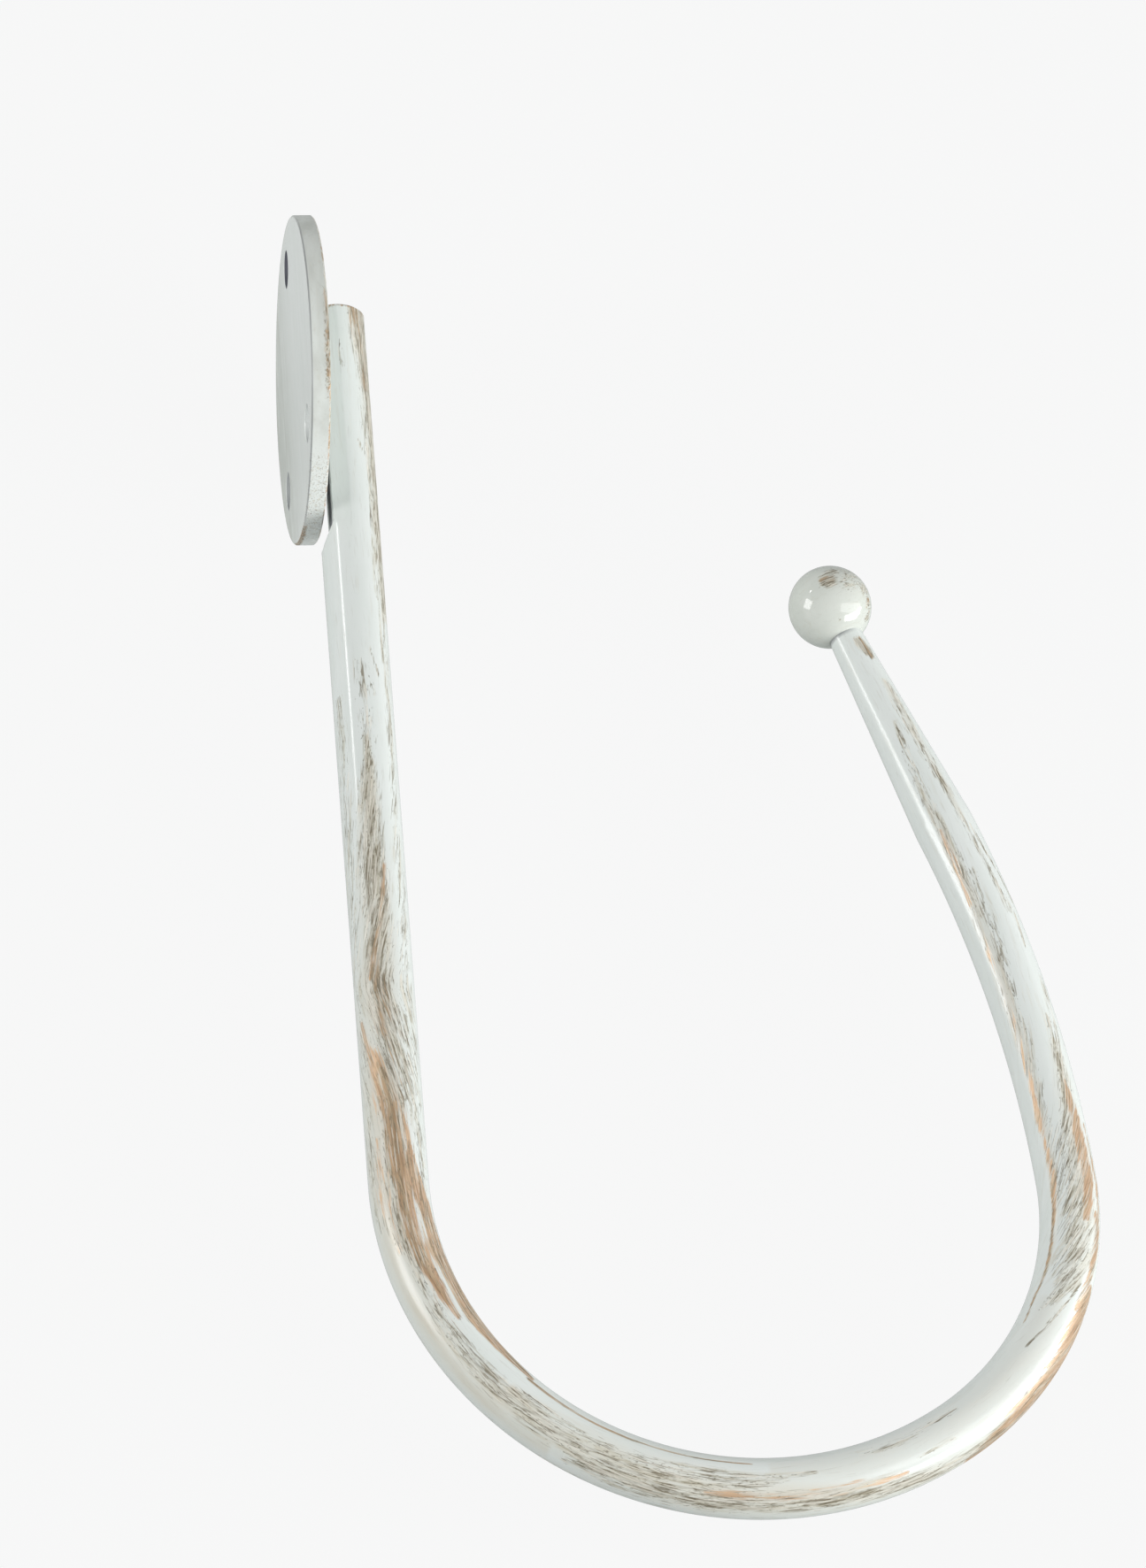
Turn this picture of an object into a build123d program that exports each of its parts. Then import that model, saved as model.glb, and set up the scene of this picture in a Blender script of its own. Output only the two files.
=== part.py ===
from build123d import *
import math
import os

# Bar
bar_diameter = 10.0
shank_length = 162.5
shank_above_plate_centre = 12.0
first_bend_radius = 56.0
first_bend_angle = 123.4
second_bend_radius = 50.2
second_bend_angle = 61.0
lean_radius = 238.0
lean_angle = 16.2
free_end_length = 44.4
tip_diameter = 5.7
shank_end_chamfer = 0.4

# Flattened wall side of the shank, where it sits on the plate
seat_flat_depth = 1.9
seat_flat_below_plate_centre = 29.0
seat_shoulder_run = 4.0

# Shallow cheeks beside the flat
cheek_depth = 0.26
cheek_angle_from_flat = 70.0
cheek_below_plate_centre = 27.6
cheek_shoulder_run = 1.6

# Ball finial
ball_diameter = 13.8
ball_seat_margin = 0.1
spigot_diameter = 3.6
spigot_length = 5.0
spigot_chamfer = 0.3
socket_radial_clearance = 0.05
socket_end_clearance = 0.4

# Wall plate
plate_diameter = 55.0
plate_rim_thickness = 3.2
plate_centre_thickness = 4.5
plate_pad_diameter = 12.0
plate_edge_break = 0.25

# Screw holes, angles measured from the shank's end towards the upper side
screw_hole_diameter = 6.4
screw_hole_edge_break = 0.15
screw_circle_radius = 21.0
screw_angle_beyond_shank = 2.0
screw_angle_upper = 140.0
screw_angle_lower = -122.0

# Places that follow from the sizes above
bar_radius = bar_diameter / 2
tip_radius = tip_diameter / 2
ball_radius = ball_diameter / 2
plate_radius = plate_diameter / 2
bar_axis_x = plate_centre_thickness + bar_radius - seat_flat_depth
ball_seat_radius = tip_radius + ball_seat_margin
ball_seat_distance = math.sqrt(ball_radius**2 - ball_seat_radius**2)
cutter_span = 4 * bar_diameter


def bar_centreline():
    """Shank, two-radius bend and lean as curves in the plane z = 0."""
    shank_end = (bar_axis_x, shank_above_plate_centre)
    bend_start = (bar_axis_x, shank_above_plate_centre - shank_length)
    shank = Line(shank_end, bend_start)
    first = JernArc(shank @ 1, shank % 1, first_bend_radius, first_bend_angle)
    second = JernArc(first @ 1, first % 1, second_bend_radius, second_bend_angle)
    lean = JernArc(second @ 1, second % 1, lean_radius, lean_angle)
    return [shank, first, second, lean]


def free_end_frame(distance):
    """Plane across the free end, at a distance along it from the end of the lean."""
    lean = bar_centreline()[-1]
    direction = lean % 1
    return Plane(origin=(lean @ 1) + direction * distance, z_dir=direction, x_dir=(0, 0, 1))


def side_cut(turn, depth, below_plate_centre, shoulder_run):
    """Cutter for a flat along the shank that ends in a sloped shoulder."""
    face = depth - bar_radius
    outside = face - cutter_span
    above = shank_above_plate_centre + cutter_span
    shoulder = -below_plate_centre - shoulder_run
    profile = Polyline(
        (face, above),
        (face, -below_plate_centre),
        (-bar_radius, shoulder),
        (outside, shoulder),
        (outside, above),
        close=True,
    )
    block = extrude(make_face(profile), cutter_span / 2, both=True)
    return Pos(bar_axis_x, 0, 0) * Rot(0, turn, 0) * block


def round_bar():
    """Full-diameter bar, swept along its centreline."""
    path = Wire(bar_centreline())
    section = Plane(origin=path @ 0, z_dir=path % 0) * Circle(bar_radius)
    return sweep(section, path=path)


def tapered_free_end():
    """Straight taper from the end of the lean to the ball's seat."""
    length = free_end_length - ball_seat_distance
    cone = Cone(bar_radius, tip_radius, length, align=(Align.CENTER, Align.CENTER, Align.MIN))
    return free_end_frame(0) * cone


def spigot():
    """Short round spigot on the tip, chamfered at its end."""
    seat = free_end_length - ball_seat_distance
    pin = Cylinder(spigot_diameter / 2, spigot_length, align=(Align.CENTER, Align.CENTER, Align.MIN))
    pin = chamfer(pin.edges().group_by(Axis.Z)[-1], spigot_chamfer)
    return free_end_frame(seat) * pin


def bent_bar():
    """Bar with its seat flat, cheeks, taper and spigot."""
    bar = round_bar()
    bar = chamfer(bar.edges().sort_by(Axis.Y)[-1], shank_end_chamfer)
    bar -= side_cut(0, seat_flat_depth, seat_flat_below_plate_centre, seat_shoulder_run)
    for turn in (cheek_angle_from_flat, -cheek_angle_from_flat):
        bar -= side_cut(turn, cheek_depth, cheek_below_plate_centre, cheek_shoulder_run)
    return bar + tapered_free_end() + spigot()


def ball_finial():
    """Ball with a flat seat and a blind socket facing the bar's tip."""
    ball = Sphere(ball_radius)
    away_from_bar = (Align.CENTER, Align.CENTER, Align.MIN)
    towards_bar = (Align.CENTER, Align.CENTER, Align.MAX)
    beyond_seat = Pos(0, 0, -ball_seat_distance) * Cylinder(ball_radius, ball_radius, align=towards_bar)
    socket = Pos(0, 0, -ball_seat_distance) * Cylinder(
        spigot_diameter / 2 + socket_radial_clearance,
        spigot_length + socket_end_clearance,
        align=away_from_bar,
    )
    return free_end_frame(free_end_length) * (ball - beyond_seat - socket)


def screw_hole(angle):
    """Cutter for one plain screw hole, its back edge slightly broken."""
    radius = screw_hole_diameter / 2
    along_x = Rot(0, 90, 0)
    through = Cylinder(radius, 2 * plate_centre_thickness)
    upright = (Align.CENTER, Align.CENTER, Align.MIN)
    edge = Cone(radius + screw_hole_edge_break, radius, screw_hole_edge_break, align=upright)
    across = screw_circle_radius * math.cos(math.radians(angle))
    upward = screw_circle_radius * math.sin(math.radians(angle))
    return Pos(0, across, upward) * along_x * (through + edge)


def wall_plate():
    """Round plate, flat at the back, rising in front as a shallow cone to a flat pad."""
    pad_edge = (plate_centre_thickness, plate_pad_diameter / 2)
    rim_front = (plate_rim_thickness, plate_radius)
    centre_front = (plate_centre_thickness, 0)
    outline = Polyline((0, 0), (0, plate_radius), rim_front, pad_edge, centre_front, close=True)
    plate = revolve(make_face(outline), axis=Axis.X)
    rim_edges = [edge for edge in plate.edges() if edge.geom_type == GeomType.CIRCLE]
    rim_edges = [edge for edge in rim_edges if edge.radius > plate_radius - plate_edge_break]
    plate = chamfer(rim_edges, plate_edge_break)
    for angle in (screw_angle_beyond_shank, screw_angle_upper, screw_angle_lower):
        plate -= screw_hole(angle)
    return plate


os.makedirs("parts", exist_ok=True)
export_step(bent_bar(), "parts/bent_bar.step")
export_step(ball_finial(), "parts/ball_finial.step")
export_step(wall_plate(), "parts/wall_plate.step")
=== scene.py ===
"""Studio scene of a hook-shaped curtain holdback with a distressed painted finish."""

import logging
import math
from dataclasses import dataclass
from enum import Enum
from typing import Any, Callable

import bpy
from mathutils import Matrix, Vector


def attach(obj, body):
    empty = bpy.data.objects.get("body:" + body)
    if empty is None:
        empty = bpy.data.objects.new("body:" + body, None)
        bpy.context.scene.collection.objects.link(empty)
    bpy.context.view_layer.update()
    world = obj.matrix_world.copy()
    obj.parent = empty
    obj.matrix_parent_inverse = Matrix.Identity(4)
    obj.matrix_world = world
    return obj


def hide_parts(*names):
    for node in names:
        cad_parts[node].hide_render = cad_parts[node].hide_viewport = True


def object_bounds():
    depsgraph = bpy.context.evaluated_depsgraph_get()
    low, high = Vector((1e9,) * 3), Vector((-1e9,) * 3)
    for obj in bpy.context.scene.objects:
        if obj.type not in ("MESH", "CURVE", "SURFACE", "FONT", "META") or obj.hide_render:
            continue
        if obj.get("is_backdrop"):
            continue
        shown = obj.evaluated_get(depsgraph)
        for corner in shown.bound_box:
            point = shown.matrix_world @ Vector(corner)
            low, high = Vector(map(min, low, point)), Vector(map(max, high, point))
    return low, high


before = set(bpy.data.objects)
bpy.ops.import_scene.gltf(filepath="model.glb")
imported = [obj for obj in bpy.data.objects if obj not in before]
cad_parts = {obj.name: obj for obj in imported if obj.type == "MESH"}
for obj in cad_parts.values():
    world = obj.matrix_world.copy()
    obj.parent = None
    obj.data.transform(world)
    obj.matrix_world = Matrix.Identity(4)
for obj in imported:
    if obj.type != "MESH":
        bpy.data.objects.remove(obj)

log = logging.getLogger("holdback")

MM = 0.001
PHOTO_WIDTH = 1295
PHOTO_HEIGHT = 1772
SHARP_ANGLE = 35.0
NOISE_ROUGHNESS = 0.55
NOISE_LOW = 0.28
NOISE_HIGH = 0.72

Colour = tuple[float, float, float, float]
Triple = tuple[float, float, float]
Span = tuple[float, float]


# Shader maths

class Field:
    """A value that varies over a surface, held by one node socket."""

    def __init__(self, board: "Board", socket: bpy.types.NodeSocket) -> None:
        """Keep the node tree and the socket that carries the value."""
        self.board = board
        self.socket = socket

    def _math(self, operation: str, first: Any, second: Any) -> "Field":
        """Add one Math node.

        Args:
            operation: name of the Math operation.
            first: number or field for the first input.
            second: number or field for the second input.

        Returns:
            The field that the node gives out.
        """
        return self.board.add("ShaderNodeMath", {"operation": operation}, {0: first, 1: second})

    def __add__(self, other: Any) -> "Field":
        """Sum."""
        return self._math("ADD", self, other)

    def __radd__(self, other: Any) -> "Field":
        """Reflected sum."""
        return self._math("ADD", other, self)

    def __sub__(self, other: Any) -> "Field":
        """Difference."""
        return self._math("SUBTRACT", self, other)

    def __rsub__(self, other: Any) -> "Field":
        """Reflected difference."""
        return self._math("SUBTRACT", other, self)

    def __mul__(self, other: Any) -> "Field":
        """Product."""
        return self._math("MULTIPLY", self, other)

    def __rmul__(self, other: Any) -> "Field":
        """Reflected product."""
        return self._math("MULTIPLY", other, self)

    def __pow__(self, other: Any) -> "Field":
        """Power."""
        return self._math("POWER", self, other)

    def greatest(self, other: Any) -> "Field":
        """Greater of this field and another value."""
        return self._math("MAXIMUM", self, other)

    def step(self, low: Any, high: Any) -> "Field":
        """Smooth rise from 0 at low to 1 at high.

        Args:
            low: number or field where the rise starts.
            high: number or field where the rise ends.

        Returns:
            The smoothed step.
        """
        return self.board.add(
            "ShaderNodeMapRange",
            {"interpolation_type": "SMOOTHSTEP"},
            {"Value": self, "From Min": low, "From Max": high},
        )


class Board:
    """Node tree of one material or world, with short ways to add nodes."""

    def __init__(self, owner: Any) -> None:
        """Empty the owner's node tree.

        Args:
            owner: material or world whose nodes are built.
        """
        owner.use_nodes = True
        self.tree = owner.node_tree
        self.tree.nodes.clear()

    def add(self, kind: str, settings: dict[str, Any] | None = None,
            sockets: dict[Any, Any] | None = None, output: Any = 0) -> Field:
        """Add one node.

        Args:
            kind: Blender's name for the node type.
            settings: properties, set before the sockets.
            sockets: values or fields for the inputs, by name or place.
            output: name or place of the output that is handed back.

        Returns:
            The field of the chosen output.
        """
        node = self.tree.nodes.new(kind)
        for name, value in (settings or {}).items():
            setattr(node, name, value)
        for name, value in (sockets or {}).items():
            if isinstance(value, Field):
                self.tree.links.new(value.socket, node.inputs[name])
            else:
                node.inputs[name].default_value = value
        return Field(self, node.outputs[output])

    def close(self, kind: str, surface: Field) -> None:
        """Add the output node and link its surface."""
        self.tree.links.new(surface.socket, self.tree.nodes.new(kind).inputs["Surface"])

    def blend(self, share: Any, first: Any, second: Any) -> Field:
        """Mix two colours.

        Args:
            share: how much of the second colour shows, 0 to 1.
            first: colour or field.
            second: colour or field.

        Returns:
            The mixed colour.
        """
        return self.add("ShaderNodeMix", {"data_type": "RGBA"}, {0: share, 6: first, 7: second}, 2)

    def part(self, vector: Field, axis: str) -> Field:
        """One component of a vector."""
        return self.add("ShaderNodeSeparateXYZ", {}, {0: vector}, axis)

    def scaled(self, vector: Field, scale: Triple) -> Field:
        """Vector multiplied by a number along each axis."""
        return self.add("ShaderNodeVectorMath", {"operation": "MULTIPLY"}, {0: vector, 1: scale})

    def noise(self, place: Field, detail: float) -> Field:
        """Noise around 0.5 at unit scale.

        Args:
            place: vector that the noise is read at.
            detail: number of finer layers.

        Returns:
            The noise, spread to fill most of 0 to 1.
        """
        plain = self.add(
            "ShaderNodeTexNoise",
            {"noise_dimensions": "3D"},
            {"Vector": place, "Scale": 1.0, "Detail": detail, "Roughness": NOISE_ROUGHNESS},
        )
        return self.add(
            "ShaderNodeMapRange", {}, {"Value": plain, "From Min": NOISE_LOW, "From Max": NOISE_HIGH}
        )


def colour(red: int, green: int, blue: int) -> Colour:
    """Turn a display colour into the scene's linear values.

    Args:
        red: 0 to 255 as on a screen.
        green: 0 to 255 as on a screen.
        blue: 0 to 255 as on a screen.

    Returns:
        Linear red, green and blue, with full opacity.
    """
    def linear(value: int) -> float:
        """One channel from display to linear."""
        part = value / 255
        return part / 12.92 if part <= 0.04045 else ((part + 0.055) / 1.055) ** 2.4

    return linear(red), linear(green), linear(blue), 1.0


# Finish

class Layer(Enum):
    """Layers of the distressed finish and of painted shade, each as a strength from 0 to 1."""

    VEIL_AND_SHADE = "veil_and_shade"
    STROKES = "strokes"
    BARE = "bare"
    UMBER = "umber"
    # painted shade in the gap by the plate, at the ball's joint and on the screw holes' walls, and a thin
    # dark line on the plate's back edge
    RAW = "shade_and_edge_line"


@dataclass(frozen=True)
class Grain:
    """Noise stretched along the run, with its number of finer layers."""

    across: float
    along: float
    detail: float

    def read(self, board: Board, run: Field) -> Field:
        """Noise at the brushing coordinates."""
        return board.noise(board.scaled(run, (self.across, self.across, self.along)), self.detail)


@dataclass(frozen=True)
class BrushMarks:
    """One set of dry-brush marks, at a slight angle to the run.

    The slope is in degrees for each millimetre, and across and along are marks for each millimetre.
    The offset tells the sets apart. Soft and ease are how blurred the marks are and how easily they show.
    """

    tint: Colour
    slope: float
    across: float
    along: float
    offset: float
    strength: float
    soft: float
    ease: float

    def mask(self, board: Board, run: Field, needed: Field) -> Field:
        """Find where the marks show.

        Args:
            board: node tree that they are built in.
            run: brushing coordinates, with Z along the run.
            needed: level that the marks' noise must pass.

        Returns:
            The marks, 0 to 1.
        """
        turn = board.part(run, "Z") * math.radians(self.slope)
        turned = board.add(
            "ShaderNodeVectorRotate", {"rotation_type": "Z_AXIS"}, {"Vector": run, "Angle": turn}
        )
        scaled = board.scaled(turned, (self.across, self.across, self.along))
        moved = board.add(
            "ShaderNodeVectorMath", {"operation": "ADD"}, {0: scaled, 1: (0.0, self.offset, 0.0)}
        )
        middle = needed - self.ease
        return board.noise(moved, 1.0).step(middle - self.soft, middle + self.soft) * self.strength


def clouded(amounts: Span, cloud: Field) -> Field:
    """Even amount with a cloudy one on top."""
    return amounts[0] + amounts[1] * cloud


@dataclass(frozen=True)
class DistressedPaint:
    """Off-white enamel over a bronze ground, dry-brushed and rubbed through, with painted shade laid on.

    Levels and shares run from 0 to 1. The film's thickness is in metres, and heights are shares of it.
    A name that ends in edge holds where a smooth rise starts and ends. The wash's cover and the drop's
    share hold an even amount and a cloudy one.
    """

    name: str
    enamel: Colour = colour(226, 231, 228)
    enamel_shade: Colour = colour(221, 227, 223)
    # tint of the brushed wash; on the plate it is the tint of the painted shade
    wash_and_shade_tint: Colour = colour(208, 202, 184)
    bronze: Colour = colour(172, 132, 96)
    bronze_light: Colour = colour(210, 178, 144)
    umber: Colour = colour(140, 111, 80)
    umber_light: Colour = colour(192, 163, 130)
    # dark tint of the painted shade and of the plate's edge line
    shade_and_edge_line: Colour = colour(88, 90, 98)
    marks: tuple[BrushMarks, ...] = (
        BrushMarks(colour(190, 183, 161), 0.0, 1.1, 0.08, 3.0, 0.46, 0.22, 0.06),
        BrushMarks(colour(160, 153, 130), 0.8, 2.6, 0.16, 7.0, 0.46, 0.12, 0.00),
        BrushMarks(colour(111, 101, 79), 0.2, 3.2, 0.12, 11.0, 0.70, 0.07, -0.08),
        BrushMarks(colour(116, 105, 83), -1.0, 3.4, 0.22, 19.0, 0.60, 0.09, -0.07),
        BrushMarks(colour(109, 100, 79), 1.7, 3.6, 0.26, 23.0, 0.58, 0.09, -0.09),
        BrushMarks(colour(103, 96, 77), 0.0, 4.0, 1.2, 37.0, 0.62, 0.08, -0.10),
        BrushMarks(colour(230, 226, 214), -0.3, 3.0, 0.12, 51.0, 0.62, 0.09, -0.04),
    )
    hair: Grain = Grain(3.0, 0.20, 1.5)
    bristle: Grain = Grain(1.1, 0.10, 3.0)
    cloud: Grain = Grain(0.42, 0.09, 2.0)
    gaps: Grain = Grain(1.6, 0.36, 2.0)
    hair_in_edges: float = 0.7
    opening_start: float = 0.26
    rub_full: float = 0.80
    rub_even: float = 0.3
    deep_full: float = 0.84
    deep_even: float = 0.25
    ground_cover: float = 0.92
    worn_edge: Span = (0.02, 0.2)
    wash_cover: Span = (0.35, 0.5)
    clean_level: float = 0.93
    brushed_drop: float = 0.42
    drop_share: Span = (0.70, 0.4)
    brushed_edge: Span = (0.0, 0.1)
    gap_edge: Span = (0.28, 0.60)
    dull_wash: float = 0.5
    dull_share: float = 0.7
    marks_on_rub: float = 0.66
    marks_on_deep: float = 0.9
    stray_marks: float = 0.3
    marks_in_gaps: float = 0.3
    marks_lost_on_ground: float = 0.25
    enamel_roughness: float = 0.15
    brushed_roughness: float = 0.46
    bronze_roughness: float = 0.42
    shade_and_edge_line_roughness: float = 0.6
    bronze_metal: float = 0.30
    film: float = 0.05 * MM
    relief: float = 0.5
    refraction: float = 1.5
    film_height: float = 0.8
    stroke_depth: float = 0.5
    cloud_height: float = 0.05

    def opening(self, strength: Field, ragged: Field, full: float, even: float) -> Field:
        """Find where a worn layer has opened the enamel.

        Args:
            strength: strength of the layer, 0 to 1.
            ragged: noise that tears the edges.
            full: level at which the ground shows fully.
            even: share of the strength that shows without noise.

        Returns:
            The opening, 0 to 1.
        """
        torn = (strength + ragged).step(self.opening_start, full)
        return (torn * strength.step(*self.worn_edge)).greatest(strength * even)

    def make(self, place: Callable[[Board], Field],
             layer: Callable[[Board, Layer], Field]) -> bpy.types.Material:
        """Build the material.

        Args:
            place: gives the brushing coordinates in millimetres, with Z along the strokes.
            layer: gives the strength of one layer, 0 to 1.

        Returns:
            The finished material.
        """
        material = bpy.data.materials.new(self.name)
        board = Board(material)
        run = place(board)
        hair, cloud = self.hair.read(board, run), self.cloud.read(board, run)
        veil_and_shade, strokes, bare, umber, shade_and_edge_line = (layer(board, kind) for kind in Layer)

        ragged = self.bristle.read(board, run) - 0.5 + self.hair_in_edges * (hair - 0.5)
        rubbed = self.opening(bare, ragged, self.rub_full, self.rub_even)
        worn_deep = self.opening(umber, ragged, self.deep_full, self.deep_even)
        opened = rubbed.greatest(worn_deep)
        film = board.blend(cloud, self.enamel_shade, self.enamel)
        # brushed wash; on the plate this lays painted shade
        film = board.blend(veil_and_shade * clouded(self.wash_cover, cloud), film, self.wash_and_shade_tint)
        bronze = board.blend(hair, self.bronze, self.bronze_light)
        film = board.blend(rubbed * self.ground_cover, film, bronze)
        umber_ground = board.blend(hair, self.umber, self.umber_light)
        film = board.blend(worn_deep * self.ground_cover, film, umber_ground)

        brushing = strokes.greatest(bare * self.marks_on_rub).greatest(umber * self.marks_on_deep)
        needed = self.clean_level - self.brushed_drop * brushing * clouded(self.drop_share, cloud)
        whole = self.gaps.read(board, run).step(*self.gap_edge)
        seen = self.stray_marks + (1.0 - self.stray_marks) * brushing.step(*self.brushed_edge)
        seen = seen * (1.0 - self.marks_lost_on_ground * opened)
        seen = seen * (self.marks_in_gaps + (1.0 - self.marks_in_gaps) * whole)
        dull = brushing.greatest(veil_and_shade * self.dull_wash) * self.dull_share
        for marks in self.marks:
            shown = marks.mask(board, run, needed) * seen
            film = board.blend(shown, film, marks.tint)
            dull = dull.greatest(shown)
        # lay the dark tint of the painted shade and of the plate's edge line
        film = board.blend(shade_and_edge_line, film, self.shade_and_edge_line)

        roughness = self.enamel_roughness + (self.brushed_roughness - self.enamel_roughness) * dull
        roughness = roughness * (1.0 - opened) + self.bronze_roughness * opened
        height = (1.0 - opened) * self.film_height - dull * hair * self.stroke_depth
        height = height + cloud * self.cloud_height
        bump = {"Strength": self.relief, "Distance": self.film, "Height": height}
        shader = board.add(
            "ShaderNodeBsdfPrincipled",
            {},
            {
                "Base Color": film,
                "Metallic": opened * self.bronze_metal * (1.0 - shade_and_edge_line),
                "Roughness": roughness.greatest(shade_and_edge_line * self.shade_and_edge_line_roughness),
                "Normal": board.add("ShaderNodeBump", {}, bump, "Normal"),
                "IOR": self.refraction,
            },
        )
        board.close("ShaderNodeOutputMaterial", shader)
        return material


def painted(board: Board, layer: Layer) -> Field:
    """Strength of a layer as painted on the mesh."""
    return board.add("ShaderNodeAttribute", {"attribute_name": layer.value}, {}, "Fac")


def along_strokes(board: Board) -> Field:
    """Brushing coordinates as stored on the mesh."""
    return board.add("ShaderNodeAttribute", {"attribute_name": "run"}, {}, "Vector")


# Wear and painted shade

def smooth(value: float) -> float:
    """Smooth rise from 0 at 0 to 1 at 1."""
    value = min(1.0, max(0.0, value))
    return value * value * (3.0 - 2.0 * value)


@dataclass(frozen=True)
class Band:
    """Band on the bar for one layer of wear and painted shade, drawn through stations of its middle and half
    width.

    A station is (millimetres along the bar, degrees around it, half width in degrees).
    """

    name: str
    strength: float
    soft: float
    stations: tuple[Triple, ...]

    def __post_init__(self) -> None:
        """Check that the stations follow each other along the bar."""
        places = [station[0] for station in self.stations]
        if places != sorted(places):
            raise ValueError(f"stations of {self.name} are out of order")

    def section(self, along: float) -> Span | None:
        """Cross the band at one place along the bar.

        Args:
            along: millimetres along the bar.

        Returns:
            The band's middle and half width in degrees, or nothing beyond its ends.
        """
        for before, after in zip(self.stations, self.stations[1:]):
            if before[0] <= along <= after[0]:
                share = (along - before[0]) / (after[0] - before[0])
                middle = before[1] + share * (after[1] - before[1])
                return middle, before[2] + share * (after[2] - before[2])
        return None

    def across(self, section: Span, around: float) -> float:
        """Strength at one angle of a section."""
        off = abs((around - section[0] + 180.0) % 360.0 - 180.0) / section[1]
        return self.strength * smooth((1.0 + self.soft - off) / (2.0 * self.soft))


NECK_CHIP: tuple[Triple, ...] = ((435.4, 123, 6), (437, 116, 16), (438.8, 108, 20), (440.5, 102, 10))

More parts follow.
